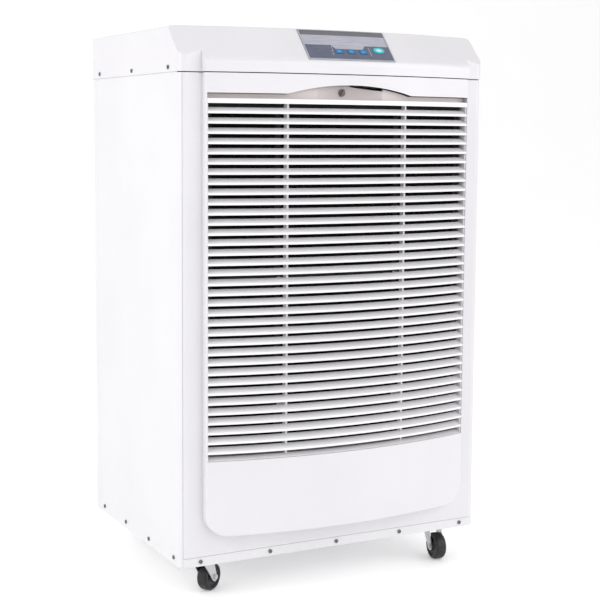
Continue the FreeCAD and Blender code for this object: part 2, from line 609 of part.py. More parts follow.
def key(name):
    """Soft rectangular key with a retaining flange behind the fascia."""
    width, height = KEY_SIZE
    cap = rounded_slab(width, height, 1.6, FLANGE_TOP - 1, 1.5)
    flange = rounded_slab(width + 2, height + 2, 1.8, FLANGE_TOP - 1, FLANGE_TOP)
    return turned(upright_on_slope(cap.fuse(flange).removeSplitter(), KEY_UP), KEYS[name], KEY_UP)


def power_button():
    """Oval button with a shallow dish and a retaining flange."""
    width, height = POWER_SIZE
    cap = oval_slab(width, height, FLANGE_TOP - 1, 1.9)
    dish = Part.makeSphere(60, Vector(0, 0, 61.4))
    flange = oval_slab(width + 2, height + 2, FLANGE_TOP - 1, FLANGE_TOP)
    button = cap.fuse(flange).removeSplitter().cut(dish)
    return turned(upright_on_slope(button, POWER_UP), POWER_X, POWER_UP)


def panel_bezel():
    outer = on_slope(PANEL_FOOT, PANEL_HEAD, PANEL_REBATE, PANEL_STAND, PANEL_HALF_WIDTH)
    return outer.cut(on_slope(PANEL_FOOT + 2.6, PANEL_HEAD - 1.6, -4, 4, PANEL_HALF_WIDTH - 2.4))


def panel_fascia():
    plate = on_slope(PANEL_FOOT + 2.8, PANEL_HEAD - 1.8, PANEL_REBATE, FASCIA_STAND, PANEL_HALF_WIDTH - 2.6)
    width, height = (size + 2 * KEY_CLEARANCE for size in KEY_SIZE)
    slots = [turned(upright_on_slope(rounded_slab(width, height, 1.8, -4, 4), KEY_UP), x, KEY_UP)
             for x in KEYS.values()]
    oval = oval_slab(POWER_SIZE[0] + 2 * KEY_CLEARANCE, POWER_SIZE[1] + 2 * KEY_CLEARANCE, -4, 4)
    return plate.cut(slots + [turned(upright_on_slope(oval, POWER_UP), POWER_X, POWER_UP)])


def control_board():
    """Circuit board on the cap's posts, with a switch behind each key."""
    board = on_slope(8, 64, BOARD_BACK, BOARD_FACE, BOARD_HALF_WIDTH)
    switches = []
    for x, up in [(x, KEY_UP) for x in KEYS.values()] + [(POWER_X, POWER_UP)]:
        base = rounded_slab(6, 6, 0.3, BOARD_FACE - 0.1, -4.6)
        stem = Part.makeCylinder(1.6, 0.55, Vector(0, 0, -4.7))
        switches.append(turned(upright_on_slope(base.fuse(stem), up), x, up))
    return union([board] + switches)


# ---------------------------------------------------------------- cooling circuit
def coil_tube(depth, first_side):
    """Serpentine tube: straight passes joined by half-round bends."""
    bend = TUBE_PITCH / 2
    reach = COIL_HALF_WIDTH + 3
    points = []
    side = first_side
    edges = []
    height = FIRST_TUBE
    start = at(-side * (reach + 18), depth, height)
    for i in range(TUBE_PASSES):
        last = i == TUBE_PASSES - 1
        end = at(side * (reach + (18 if last else 0)), depth, height)
        edges.append(Part.LineSegment(start, end).toShape())
        if last:
            break
        middle = at(side * (reach + bend), depth, height + bend)
        start = at(side * reach, depth, height + TUBE_PITCH)
        edges.append(Part.Arc(end, middle, start).toShape())
        height += TUBE_PITCH
        side = -side
    ring = Part.Wire(Part.makeCircle(TUBE_RADIUS, at(-first_side * (reach + 18), depth, FIRST_TUBE), EX))
    return Part.Wire(edges).makePipeShell([ring], True, False)


def fin_pack(depth):
    """Upright fins on the tube's straight passes."""
    front, back = depth - COIL_HALF_DEPTH, depth + COIL_HALF_DEPTH
    fin = block(-FIN_SHEET / 2, FIN_SHEET / 2, front, back, COIL_BOTTOM + 4, COIL_TOP - 4)
    holes = [rod(TUBE_RADIUS + 0.05, at(-2, depth, FIRST_TUBE + TUBE_PITCH * i),
                 at(2, depth, FIRST_TUBE + TUBE_PITCH * i)) for i in range(TUBE_PASSES)]
    fin = fin.cut(holes)
    fins = []
    for i in range(-FINS_EACH_WAY, FINS_EACH_WAY + 1):
        copy = fin.copy()
        copy.translate(EX * (FIN_PITCH * i))
        fins.append(copy)
    return Part.makeCompound(fins)


def coil_end_plates():
    plate = block(COIL_HALF_WIDTH - 1, COIL_HALF_WIDTH + 0.5, END_PLATE_FRONT, END_PLATE_REAR,
                  TRAY_FLOOR, COIL_TOP)
    holes = [rod(TUBE_RADIUS + 0.05, at(COIL_HALF_WIDTH - 5, depth, FIRST_TUBE + TUBE_PITCH * i),
                 at(COIL_HALF_WIDTH + 5, depth, FIRST_TUBE + TUBE_PITCH * i))
             for i in range(TUBE_PASSES) for depth in (EVAPORATOR_DEPTH, CONDENSER_DEPTH)]
    plate = plate.cut(holes)
    return Part.makeCompound([plate, mirrored_x(plate)])


def condensate_tray():
    x, wall = TRAY_HALF_WIDTH, TRAY_WALL
    outer = block(-x, x, TRAY_FRONT, TRAY_REAR, TRAY_BOTTOM, TRAY_RIM)
    inner = block(wall - x, x - wall, TRAY_FRONT + wall, TRAY_REAR - wall, TRAY_FLOOR, TRAY_RIM + 1)
    outlet = hollow_round(HOSE_BORE - 0.05, SPIGOT_BORE, at(SPIGOT_X, TRAY_REAR - 1, DRAIN_HEIGHT),
                          at(SPIGOT_X, TRAY_REAR + 19, DRAIN_HEIGHT))
    drain = rod(SPIGOT_BORE, at(SPIGOT_X, TRAY_REAR - 7, DRAIN_HEIGHT),
                at(SPIGOT_X, TRAY_REAR + 3, DRAIN_HEIGHT))
    return outer.cut(inner).fuse(outlet).cut(drain)


def drain_hose():
    points = [at(SPIGOT_X, 134, DRAIN_HEIGHT), at(SPIGOT_X, 178, DRAIN_HEIGHT), at(SPIGOT_X, 205, 120),
              at(SPIGOT_X, 232, SPIGOT_HEIGHT + 6), at(SPIGOT_X, 290, SPIGOT_HEIGHT),
              at(SPIGOT_X, 424, SPIGOT_HEIGHT)]
    return pipe(points, 26, HOSE_RADIUS, HOSE_BORE)


def drain_spigot():
    """Straight outlet stub with a tapered tip, a collar in the rear panel and a flange inside it."""
    inside = CABINET_DEPTH - SHEET
    tip = CABINET_DEPTH + SPIGOT_LENGTH

    def piece(radius, d0, d1):
        return rod(radius, at(SPIGOT_X, d0, SPIGOT_HEIGHT), at(SPIGOT_X, d1, SPIGOT_HEIGHT))

    lead_in = Part.makeCone(SPIGOT_RADIUS, SPIGOT_RADIUS - 0.8, SPIGOT_TAPER,
                            at(SPIGOT_X, tip - SPIGOT_TAPER, SPIGOT_HEIGHT), EY)
    hose_tail = piece(HOSE_BORE - 0.05, 408, inside)
    flange = piece(SPIGOT_FLANGE, inside - 3, inside)
    collar = piece(SPIGOT_COLLAR, inside - 1, CABINET_DEPTH)
    stub = piece(SPIGOT_RADIUS, CABINET_DEPTH - 1, tip - SPIGOT_TAPER)
    return union([hose_tail, flange, collar, stub, lead_in]).cut(piece(SPIGOT_BORE, 400, tip + 1))


def compressor_feet():
    angles = [math.radians(angle) for angle in FOOT_ANGLES]
    return [(COMPRESSOR_X + FOOT_CIRCLE * math.cos(a), COMPRESSOR_DEPTH + FOOT_CIRCLE * math.sin(a))
            for a in angles]


def compressor():
    """Welded rotary shell with domed ends, a three-armed foot plate and a terminal cover."""
    x, depth, r = COMPRESSOR_X, COMPRESSOR_DEPTH, COMPRESSOR_RADIUS
    shell = upright(r, x, depth, COMPRESSOR_BOTTOM, COMPRESSOR_TOP)
    rims = [edge for edge in shell.Edges if len(edge.Vertexes) == 1]
    shell = shell.makeFillet(24, rims)
    arms = [upright(11, fx, fd, FOOT_BOTTOM, FOOT_TOP) for fx, fd in compressor_feet()]
    plate = upright(52, x, depth, FOOT_BOTTOM, FOOT_TOP)
    webs = []
    for angle in FOOT_ANGLES:
        web = block(x, x + FOOT_CIRCLE, depth - 9, depth + 9, FOOT_BOTTOM, FOOT_TOP)
        web.rotate(at(x, depth, 0), EZ, angle)
        webs.append(web)
    skirt = upright(46, x, depth, 24, 36)
    cover = block(x - 22, x + 22, depth - 20, depth + 20, 240, 262)
    bolts = [upright(3.2, fx, fd, 15, 30) for fx, fd in compressor_feet()]
    return union([shell, plate, skirt, cover] + arms + webs).cut(bolts)


def compressor_grommets():
    """Three rubber mounts between the base and the compressor's feet."""
    rings = []
    for x, depth in compressor_feet():
        lower = upright(11, x, depth, BOSS_HEIGHT, FOOT_BOTTOM)
        ring = lower.fuse(upright(8.5, x, depth, FOOT_TOP, 29))
        neck = upright(5.2, x, depth, BOSS_HEIGHT, 29)
        ring = ring.cut([neck, upright(9, x, depth, 12, 15).cut(upright(8, x, depth, 12, 15))])
        rings += ring.Solids
    return Part.makeCompound(rings)


def compressor_bolts():
    bolts = []
    for x, depth in compressor_feet():
        bolts.append(upright(MOUNT_BOLT, x, depth, 0, 36).fuse(upright(7, x, depth, 29, 34)).removeSplitter())
    return Part.makeCompound(bolts)


def accumulator():
    """Suction accumulator beside the compressor, with its elbow into the shell."""
    body = upright(22, ACCUMULATOR_X, ACCUMULATOR_DEPTH, 66, 222)
    body = body.makeFillet(12, [edge for edge in body.Edges if len(edge.Vertexes) == 1])
    elbow = pipe([at(ACCUMULATOR_X, ACCUMULATOR_DEPTH, 70), at(ACCUMULATOR_X, ACCUMULATOR_DEPTH, 44),
                  at(COMPRESSOR_X - COMPRESSOR_RADIUS - 0.5, ACCUMULATOR_DEPTH, 60)], 9, 5)
    shell_side = COMPRESSOR_X - COMPRESSOR_RADIUS
    strap = block(ACCUMULATOR_X, shell_side + 0.6, ACCUMULATOR_DEPTH - 8, ACCUMULATOR_DEPTH + 8, 150, 153)
    shell = upright(COMPRESSOR_RADIUS, COMPRESSOR_X, COMPRESSOR_DEPTH, 30, 240)
    return union([body, elbow, strap]).cut(shell)


def suction_pipe():
    side = -287
    end = -(COIL_HALF_WIDTH + 21)
    high = FIRST_TUBE + TUBE_PITCH * (TUBE_PASSES - 1)
    points = [at(end, EVAPORATOR_DEPTH, high), at(side, EVAPORATOR_DEPTH, high),
              at(side, EVAPORATOR_DEPTH, 268), at(side, ACCUMULATOR_DEPTH, 268),
              at(ACCUMULATOR_X, ACCUMULATOR_DEPTH, 268), at(ACCUMULATOR_X, ACCUMULATOR_DEPTH, 222)]
    return pipe(points, 16, 5.5)


def discharge_pipe():
    side = -284
    end = -(COIL_HALF_WIDTH + 21)
    high = FIRST_TUBE + TUBE_PITCH * (TUBE_PASSES - 1)
    start = at(COMPRESSOR_X + 34, COMPRESSOR_DEPTH, 240)
    points = [start, at(COMPRESSOR_X + 34, COMPRESSOR_DEPTH, 296), at(COMPRESSOR_X + 34, 350, 296),
              at(side, 350, 296), at(side, CONDENSER_DEPTH, 296), at(side, CONDENSER_DEPTH, high),
              at(end, CONDENSER_DEPTH, high)]
    return pipe(points, 15, 4.8).cut(compressor())


def liquid_line():
    """Condenser outlet to filter drier, then the thin capillary to the evaporator."""
    side = DRIER_X
    end = COIL_HALF_WIDTH + 21
    outlet = pipe([at(end, CONDENSER_DEPTH, FIRST_TUBE), at(side, CONDENSER_DEPTH, FIRST_TUBE),
                   at(side, CONDENSER_DEPTH, 262)], 12, 4.0)
    over = pipe([at(side, CONDENSER_DEPTH, 340), at(side, CONDENSER_DEPTH, 372),
                 at(side, EVAPORATOR_DEPTH, 372), at(side, EVAPORATOR_DEPTH, FIRST_TUBE),
                 at(end, EVAPORATOR_DEPTH, FIRST_TUBE)], 12, 1.6)
    return Part.makeCompound([outlet, over])


def filter_drier():
    body = upright(11, DRIER_X, CONDENSER_DEPTH, 262, 340)
    return body.makeFillet(7, [edge for edge in body.Edges if len(edge.Vertexes) == 1])


# ---------------------------------------------------------------- partition, fan and electrics
def bulkhead():
    """Folded partition: two tray legs, shelf over the compressor bay, fan wall with its round duct."""
    x = HALF_WIDTH - SHEET - 1.0
    wall = block(-x, x, BULKHEAD_DEPTH, BULKHEAD_DEPTH + PAN_SHEET, SHELF_HEIGHT, PANEL_TOP - SHEET - 1)
    shelf = block(-x, x, 130, CABINET_DEPTH - SHEET - 3, SHELF_HEIGHT, SHELF_HEIGHT + PAN_SHEET)
    legs = []
    for leg_x in TRAY_LEGS:
        legs.append(block(leg_x, leg_x + PAN_SHEET, 22, 126, PAN_SHEET, TRAY_BOTTOM))
        legs.append(block(leg_x - 12, leg_x + PAN_SHEET, 22, 126, PAN_SHEET, 2 * PAN_SHEET))
    mouth = hollow_round(FAN_RADIUS + 6, FAN_RADIUS + 4, at(0, BULKHEAD_DEPTH, FAN_HEIGHT),
                         at(0, BULKHEAD_DEPTH + 45, FAN_HEIGHT))
    opening = rod(FAN_RADIUS + 4, at(0, 200, FAN_HEIGHT), at(0, 330, FAN_HEIGHT))
    sheet = union([wall, shelf, mouth]).cut(opening)
    return Part.makeCompound([sheet] + union(legs).Solids)


def fan_motor():
    body = rod(46, at(0, 322, FAN_HEIGHT), at(0, 386, FAN_HEIGHT))
    body = body.makeFillet(8, [edge for edge in body.Edges if len(edge.Vertexes) == 1])
    nose = rod(16, at(0, 314, FAN_HEIGHT), at(0, 324, FAN_HEIGHT))
    return union([body, nose]).cut(rod(6 + RUNNING_CLEARANCE, at(0, 300, FAN_HEIGHT), at(0, 352, FAN_HEIGHT)))


def fan_bracket():
    """Two crossed straps that carry the motor from the fan's wall."""
    d0, d1 = 386.0, 389.0
    ring = FAN_RADIUS + 22
    strap = block(-ring, ring, d0, d1, FAN_HEIGHT - 12, FAN_HEIGHT + 12)
    wall = BULKHEAD_DEPTH + PAN_SHEET
    feet = [block(side * ring - 1.5, side * ring + 1.5, wall, d1, FAN_HEIGHT - 12, FAN_HEIGHT + 12)
            for side in (-1, 1)]
    arm = union([strap] + feet)
    cross = arm.copy()
    cross.rotate(at(0, 0, FAN_HEIGHT), EY, 90)
    return union([arm, cross])


def fan_shaft():
    return rod(6, at(0, 262, FAN_HEIGHT), at(0, 350, FAN_HEIGHT))


def fan_impeller():
    """Five-bladed axial impeller."""
    hub = rod(38, at(0, 264, FAN_HEIGHT), at(0, 306, FAN_HEIGHT))
    hub = hub.makeFillet(6, [e for e in hub.Edges if len(e.Vertexes) == 1 and e.BoundBox.YMax < fy(270)])
    corners = [Vector(-1.25, -32, 34), Vector(-1.25, 32, 34), Vector(-1.25, 56, FAN_RADIUS - 12),
               Vector(-1.25, -44, FAN_RADIUS - 12)]
    face = outline_face(corners, [0, 0, 30, 22])
    blade = face.extrude(EX * 2.5)
    blades = []
    for i in range(5):
        one = blade.copy()
        one.rotate(Vector(0, 0, 0), EZ, -62)
        one.rotate(Vector(0, 0, 0), EY, 72 * i)
        one.translate(at(0, 285, FAN_HEIGHT))
        blades.append(one)
    reach = rod(FAN_RADIUS, at(0, 200, FAN_HEIGHT), at(0, 400, FAN_HEIGHT))
    wheel = union([hub] + blades).common(reach)
    return wheel.cut(rod(6, at(0, 200, FAN_HEIGHT), at(0, 400, FAN_HEIGHT)))


def rear_guard():
    """Wire guard over the outlet: rings on four crossed spokes, held by an outer flange ring."""
    plane = CABINET_DEPTH + GUARD_STAND
    rings = [Part.makeTorus(radius, GUARD_WIRE, at(0, plane, FAN_HEIGHT), EY)
             for radius in range(30, 190, GUARD_RING_PITCH)]
    flange = hollow_round(OUTLET_RADIUS + 9, OUTLET_RADIUS - 4, at(0, CABINET_DEPTH, FAN_HEIGHT),
                          at(0, CABINET_DEPTH + 2, FAN_HEIGHT))
    spokes = []
    for i in range(4):
        spoke = rod(1.8, at(-OUTLET_RADIUS, plane, FAN_HEIGHT), at(OUTLET_RADIUS, plane, FAN_HEIGHT))
        spoke.rotate(at(0, plane, FAN_HEIGHT), EY, 45 * i)
        spokes.append(spoke)
    disc = rod(22, at(0, plane - 1, FAN_HEIGHT), at(0, plane + 1.6, FAN_HEIGHT))
    return union([flange, disc] + rings + spokes)


def electrical_box():
    outer = block(130, 285, 290, 410, 30, 250)
    inner = block(PAN_SHEET + 130, 285 - PAN_SHEET, 289, 410 - PAN_SHEET, 30 + PAN_SHEET, 250 - PAN_SHEET)
    foot = block(130, 285, 290, 410, PAN_SHEET, 30).cut(block(140, 275, 280, 420, 0, 29))
    return union([outer.cut(inner), foot])


def electrical_lid():
    return block(128, 287, 286, 289.6, 28, 252)


def run_capacitor():
    can = upright(21, 165, 350, 31.5, 126)
    tabs = [block(x - 1, x + 1, 345, 355, 126, 136) for x in (157, 173)]
    return union([can] + tabs)


def cable_gland():
    """Round nut gland through the rear panel."""
    def piece(radius, d0, d1):
        return rod(radius, at(GLAND_X, d0, GLAND_HEIGHT), at(GLAND_X, d1, GLAND_HEIGHT))

    inside = CABINET_DEPTH - SHEET
    dome = piece(11, CABINET_DEPTH, CABINET_DEPTH + 15)
    outer_rim = [edge for edge in dome.Edges
                 if len(edge.Vertexes) == 1 and edge.BoundBox.YMin > fy(CABINET_DEPTH + 9)]
    nut = piece(12, inside - 5, inside)
    thread = piece(GLAND_THREAD, inside - 8, CABINET_DEPTH + 1)
    return union([dome.makeFillet(3, outer_rim), nut, thread]).cut(piece(GLAND_BORE, 400, 470))


# ---------------------------------------------------------------- casters
def caster_bolt_places():
    reach = CASTER_PLATE / 2 - 6.5
    return [(x + i * reach, depth + j * reach) for x, depth, _ in CASTERS.values()
            for i in (-1, 1) for j in (-1, 1)]


def floor_rod(radius, x, depth, z0, z1):
    """Vertical cylinder between two heights above the floor."""
    return rod(radius, Vector(x, fy(depth), z0), Vector(x, fy(depth), z1))


def caster_plates():
    """Pressed top plates with the swivel's upper race."""
    plates = []
    for x, depth, _ in CASTERS.values():
        plate = rounded_slab(CASTER_PLATE, CASTER_PLATE, 5, CASTER_HEIGHT - 2.5, CASTER_HEIGHT)
        plate.translate(Vector(x, fy(depth), 0))
        race = Part.makeCone(16, 13, RACE_DEPTH, Vector(x, fy(depth), CASTER_HEIGHT - 2.5), EZ * -1)
        plates.append(union([plate, race]))
    holes = [floor_rod(CASTER_BOLT, x, depth, 55, 70) for x, depth in caster_bolt_places()]
    holes += [floor_rod(KINGPIN_RADIUS, x, depth, 50, 80) for x, depth, _ in CASTERS.values()]
    return Part.makeCompound([plate.cut(holes) for plate in plates])


def caster_kingpins():
    """Riveted pins whose heads hold the forks' crowns."""
    head_top = FORK_TOP - FORK_SHEET - 0.3
    pins = []
    for x, depth, _ in CASTERS.values():
        shank = floor_rod(KINGPIN_RADIUS, x, depth, head_top - 1, CASTER_HEIGHT - 0.2)
        head = floor_rod(KINGPIN_HEAD, x, depth, head_top - 2, head_top)
        pins.append(union([shank, head]))
    return Part.makeCompound(pins)


def caster_bolts():
    bolts = []
    for x, depth in caster_bolt_places():
        head = floor_rod(4.2, x, depth, CASTER_HEIGHT - 5.3, CASTER_HEIGHT - 2.5)
        nut = floor_rod(4.6, x, depth, CASTER_HEIGHT + PAN_SHEET, CASTER_HEIGHT + PAN_SHEET + 3.2)
        shank = floor_rod(CASTER_BOLT, x, depth, CASTER_HEIGHT - 4, CASTER_HEIGHT + 6.5)
        bolts.append(union([head, nut, shank]))
    return Part.makeCompound(bolts)


def fork_leg(offset):
    """Tapered leg of the fork, drawn with the wheel trailing toward +X."""
    top = FORK_TOP - FORK_SHEET
    points = [Vector(-13, offset, top), Vector(16, offset, top),
              Vector(CASTER_TRAIL + 7.5, offset, WHEEL_RADIUS - 4),
              Vector(CASTER_TRAIL, offset, WHEEL_RADIUS - 9),
              Vector(CASTER_TRAIL - 7.5, offset, WHEEL_RADIUS - 4)]
    return outline_face(points, [2, 2, 5, 4, 5]).extrude(EY * FORK_SHEET)


def placed_caster(shape, name):
    """Turn a caster piece to its resting direction and move it under the base."""
    x, depth, direction = CASTERS[name]
    shape.rotate(Vector(0, 0, 0), EZ, direction)
    shape.translate(Vector(x, fy(depth), 0))
    return shape


def caster_fork(name):
    """Pressed fork: round crown, lower race and two tapered legs."""
    half = FORK_GAP / 2
    under = FORK_TOP - FORK_SHEET
    crown = Part.makeCylinder(15.5, FORK_SHEET, Vector(0, 0, under))
    bridge = Part.makeBox(29, FORK_GAP + 2 * FORK_SHEET, FORK_SHEET, Vector(-13, -half - FORK_SHEET, under))
    legs = [fork_leg(half), fork_leg(-half - FORK_SHEET)]
    fork = union([crown, bridge] + legs)
    bore = Part.makeCylinder(KINGPIN_RADIUS + RUNNING_CLEARANCE, 30, Vector(0, 0, 45))
    axle = rod(AXLE_RADIUS, Vector(CASTER_TRAIL, -30, WHEEL_RADIUS), Vector(CASTER_TRAIL, 30, WHEEL_RADIUS))
    return placed_caster(fork.cut([bore, axle]), name)


def caster_axle(name):
    """Axle bolt with its head outside one leg and its nut outside the other."""
    reach = FORK_GAP / 2 + FORK_SHEET

    def piece(radius, start, end):
        first = Vector(CASTER_TRAIL, start, WHEEL_RADIUS)
        return rod(radius, first, Vector(CASTER_TRAIL, end, WHEEL_RADIUS))

    shank = piece(AXLE_RADIUS, -reach - 3, reach)
    head = piece(5.0, reach, reach + 2)
    nut = piece(4.8, -reach - 2.6, -reach)
    return placed_caster(union([shank, head, nut]), name)


def caster_wheel(name):
    """Solid wheel with a crowned tread, dished sides and a plain bore."""
    half, bore = WHEEL_WIDTH / 2, AXLE_RADIUS + RUNNING_CLEARANCE
    side = [(half, bore), (half, 8), (half - 2.5, 10), (half - 2.5, 17), (half, 19),
            (half, WHEEL_RADIUS - 2.5), (half - 4, WHEEL_RADIUS)]
    section = [Vector(0, -y, z) for y, z in side] + [Vector(0, y, z) for y, z in reversed(side)]
    radii = [0, 0, 1.5, 1.5, 0.8, 2.0, 3.0, 3.0, 2.0, 0.8, 1.5, 1.5, 0, 0]
    wheel = outline_face(section, radii).revolve(Vector(0, 0, 0), EY, 360)
    wheel.translate(Vector(CASTER_TRAIL, 0, WHEEL_RADIUS))
    return placed_caster(wheel, name)


# ---------------------------------------------------------------- output
def all_parts():
    parts = {
        "base_pan": base_pan, "front_panel": front_panel, "rear_panel": rear_panel, "top_frame": top_frame,
        "side_panel_left": lambda: side_panel(-1), "side_panel_right": lambda: side_panel(1),
        "panel_screws": panel_screws, "top_cap": top_cap, "panel_bezel": panel_bezel,
        "panel_fascia": panel_fascia, "power_button": power_button, "control_board": control_board,
        "intake_grille": intake_grille, "grille_catch": grille_catch, "filter_frame": filter_frame,
        "filter_mesh": filter_mesh, "evaporator_fins": lambda: fin_pack(EVAPORATOR_DEPTH),
        "condenser_fins": lambda: fin_pack(CONDENSER_DEPTH),
        "evaporator_tube": lambda: coil_tube(EVAPORATOR_DEPTH, -1),
        "condenser_tube": lambda: coil_tube(CONDENSER_DEPTH, -1), "coil_end_plates": coil_end_plates,
        "condensate_tray": condensate_tray, "drain_hose": drain_hose, "drain_spigot": drain_spigot,
        "compressor": compressor, "compressor_grommets": compressor_grommets,
        "compressor_bolts": compressor_bolts, "accumulator": accumulator, "suction_pipe": suction_pipe,
        "discharge_pipe": discharge_pipe, "liquid_line": liquid_line, "filter_drier": filter_drier,
        "bulkhead": bulkhead, "fan_motor": fan_motor, "fan_bracket": fan_bracket, "fan_shaft": fan_shaft,
        "fan_impeller": fan_impeller, "rear_guard": rear_guard, "electrical_box": electrical_box,
        "electrical_lid": electrical_lid, "run_capacitor": run_capacitor, "cable_gland": cable_gland,
        "caster_plates": caster_plates, "caster_kingpins": caster_kingpins, "caster_bolts": caster_bolts,
    }
    for name in KEYS:
        parts[name] = lambda name=name: key(name)
    for name in CASTERS:
        parts["caster_fork_" + name] = lambda name=name: caster_fork(name)
        parts["caster_axle_" + name] = lambda name=name: caster_axle(name)
        parts["caster_wheel_" + name] = lambda name=name: caster_wheel(name)
    return parts


os.makedirs("parts", exist_ok=True)
for node, make in all_parts().items():
    make().exportStep(os.path.join("parts", node + ".step"))
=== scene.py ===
import json
import math

import bmesh
import bpy
from mathutils import Euler, Matrix, Vector
from mathutils.bvhtree import BVHTree


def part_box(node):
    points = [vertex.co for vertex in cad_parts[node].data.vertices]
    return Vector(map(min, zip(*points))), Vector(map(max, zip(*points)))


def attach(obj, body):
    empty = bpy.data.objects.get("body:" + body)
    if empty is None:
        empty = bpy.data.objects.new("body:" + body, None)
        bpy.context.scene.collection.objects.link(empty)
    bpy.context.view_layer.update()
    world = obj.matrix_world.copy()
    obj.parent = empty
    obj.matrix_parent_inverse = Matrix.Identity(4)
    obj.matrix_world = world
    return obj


# Looks of a commercial dehumidifier. Metres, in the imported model's own frame.
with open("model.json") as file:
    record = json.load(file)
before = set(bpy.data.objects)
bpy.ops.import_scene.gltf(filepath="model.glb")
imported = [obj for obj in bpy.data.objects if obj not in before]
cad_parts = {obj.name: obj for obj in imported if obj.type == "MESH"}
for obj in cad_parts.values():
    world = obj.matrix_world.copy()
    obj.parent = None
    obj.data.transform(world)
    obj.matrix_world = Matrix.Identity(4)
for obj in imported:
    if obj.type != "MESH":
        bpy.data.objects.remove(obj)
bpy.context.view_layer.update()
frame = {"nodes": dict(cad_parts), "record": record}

MM = 0.001

# ---------------------------------------------------------------- sizes that the frame's boxes don't give
SHIELD_RADIUS, SHIELD_HALF_WIDTH = 984 * MM, 262.5 * MM
SHIELD_RISE = 50 * MM          # crown of the shield ahead of the cabinet's front
CORNER_RADIUS = 13 * MM
CORNER_BEND = 0.3 * CORNER_RADIUS   # inset of a rounded corner's middle point
GRILLE_HEAD = 24 * MM          # height of the recess and finger scoop above the grille's lip

# ---------------------------------------------------------------- places taken from the frame
PANEL_LOW, PANEL_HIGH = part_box("panel_fascia")
GRILLE_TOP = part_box("intake_grille")[1][2]
GRILLE_LIP_TOP = GRILLE_TOP - GRILLE_HEAD
SHIELD_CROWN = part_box("front_panel")[0][1]
CABINET_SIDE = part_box("side_panel_right")[1][0]
CABINET_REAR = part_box("rear_panel")[1][1]
SEAM_LOW, SEAM_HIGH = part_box("front_panel")[1][2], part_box("top_cap")[0][2]

# ---------------------------------------------------------------- camera
CAMERA_PLACE = Vector((-1.161, -2.2825, 0.8138))
CAMERA_HEADING = math.radians(27.44)   # to the right of +Y
CAMERA_PITCH = math.radians(5.87)      # below the horizon
CAMERA_ROLL = math.radians(0.37)
CAMERA_LENS, CAMERA_SENSOR = 80.6, 36
CAMERA_SHIFT = (0.005, -0.05)

# ---------------------------------------------------------------- stage and light
FLOOR_HALF_WIDTH, FLOOR_FRONT = 9.0, -6.0
BACKDROP_START, BACKDROP_RADIUS, BACKDROP_TOP = 2.2, 3.0, 7.0
FLOOR_GLOW, WORLD_GLOW = 0.22, 0.68
LIGHT_TARGET, LIGHT_DISTANCE, LIGHT_SIZE = Vector((0, 0, 0.5)), 3.6, 2.2
# name: (heading to the right of the front, height angle, power)
LIGHTS = {"left": (-82, 27, 49), "front": (8, 21, 21), "right": (50, 24, 30), "top": (0, 75, 3)}


# ---------------------------------------------------------------- material helpers
def new_material(name):
    """Empty node material; returns it with its node tree, principled shader and object coordinates."""
    material = bpy.data.materials.new(name)
    material.use_nodes = True
    tree = material.node_tree
    shader = tree.nodes["Principled BSDF"]
    place = tree.nodes.new("ShaderNodeTexCoord")
    return material, tree, shader, place.outputs["Object"]


def noise(tree, place, scale, detail=4.0, roughness=0.55, stretch=(1, 1, 1)):
    """Noise value at a scale in features per metre, stretched along the axes."""
    mapping = tree.nodes.new("ShaderNodeMapping")
    mapping.inputs["Scale"].default_value = stretch
    tree.links.new(place, mapping.inputs["Vector"])
    node = tree.nodes.new("ShaderNodeTexNoise")
    node.inputs["Scale"].default_value = scale
    node.inputs["Detail"].default_value = detail
    node.inputs["Roughness"].default_value = roughness
    tree.links.new(mapping.outputs["Vector"], node.inputs["Vector"])
    return node.outputs["Fac"]


def ramp(tree, value, stops):
    """Colour ramp through (position, grey or colour) stops."""
    node = tree.nodes.new("ShaderNodeValToRGB")
    elements = node.color_ramp.elements
    while len(elements) < len(stops):
        elements.new(0.5)
    for element, (position, colour) in zip(elements, stops):
        element.position = position
        rgb = colour if isinstance(colour, tuple) else (colour, colour, colour)
        element.color = (*rgb, 1)
    tree.links.new(value, node.inputs["Fac"])
    return node.outputs["Color"]


def math_node(tree, operation, first, second):
    """Result of an operation on two sockets or numbers."""
    node = tree.nodes.new("ShaderNodeMath")
    node.operation = operation
    for socket, value in zip(node.inputs, (first, second)):
        if isinstance(value, (int, float)):
            socket.default_value = value
        else:
            tree.links.new(value, socket)
    return node.outputs["Value"]


def mix_colour(tree, factor, first, second):
    """First colour at factor 0 and the second at factor 1."""
    node = tree.nodes.new("ShaderNodeMix")
    node.data_type = "RGBA"
    sockets = (node.inputs[0], node.inputs[6], node.inputs[7])
    for socket, value in zip(sockets, (factor, first, second)):
        if isinstance(value, (int, float)):
            socket.default_value = value
        elif isinstance(value, tuple):
            socket.default_value = (*value, 1)
        else:
            tree.links.new(value, socket)
    return node.outputs[2]


def between(tree, value, low, high):
    """0 up to low and 1 from high on, in a straight line between them."""
    node = tree.nodes.new("ShaderNodeMapRange")
    node.inputs["From Min"].default_value = low
    node.inputs["From Max"].default_value = high
    tree.links.new(value, node.inputs["Value"])
    return node.outputs["Result"]


def bump(tree, shader, height, distance, strength=1.0):
    """Fine relief in the shader's normal, a distance in metres high."""
    node = tree.nodes.new("ShaderNodeBump")
    node.inputs["Distance"].default_value = distance
    node.inputs["Strength"].default_value = strength
    tree.links.new(height, node.inputs["Height"])
    tree.links.new(node.outputs["Normal"], shader.inputs["Normal"])


def edge_wear(tree, place):
    """High on convex edges, broken up by noise."""
    geometry = tree.nodes.new("ShaderNodeNewGeometry")
    edges = ramp(tree, geometry.outputs["Pointiness"], [(0.5, 0.0), (0.56, 1.0)])
    return math_node(tree, "MULTIPLY", edges, noise(tree, place, 60))


def link_roughness(tree, shader, value, stops):
    """Roughness that follows a noise or pattern value through the ramp's stops."""
    tree.links.new(ramp(tree, value, stops), shader.inputs["Roughness"])


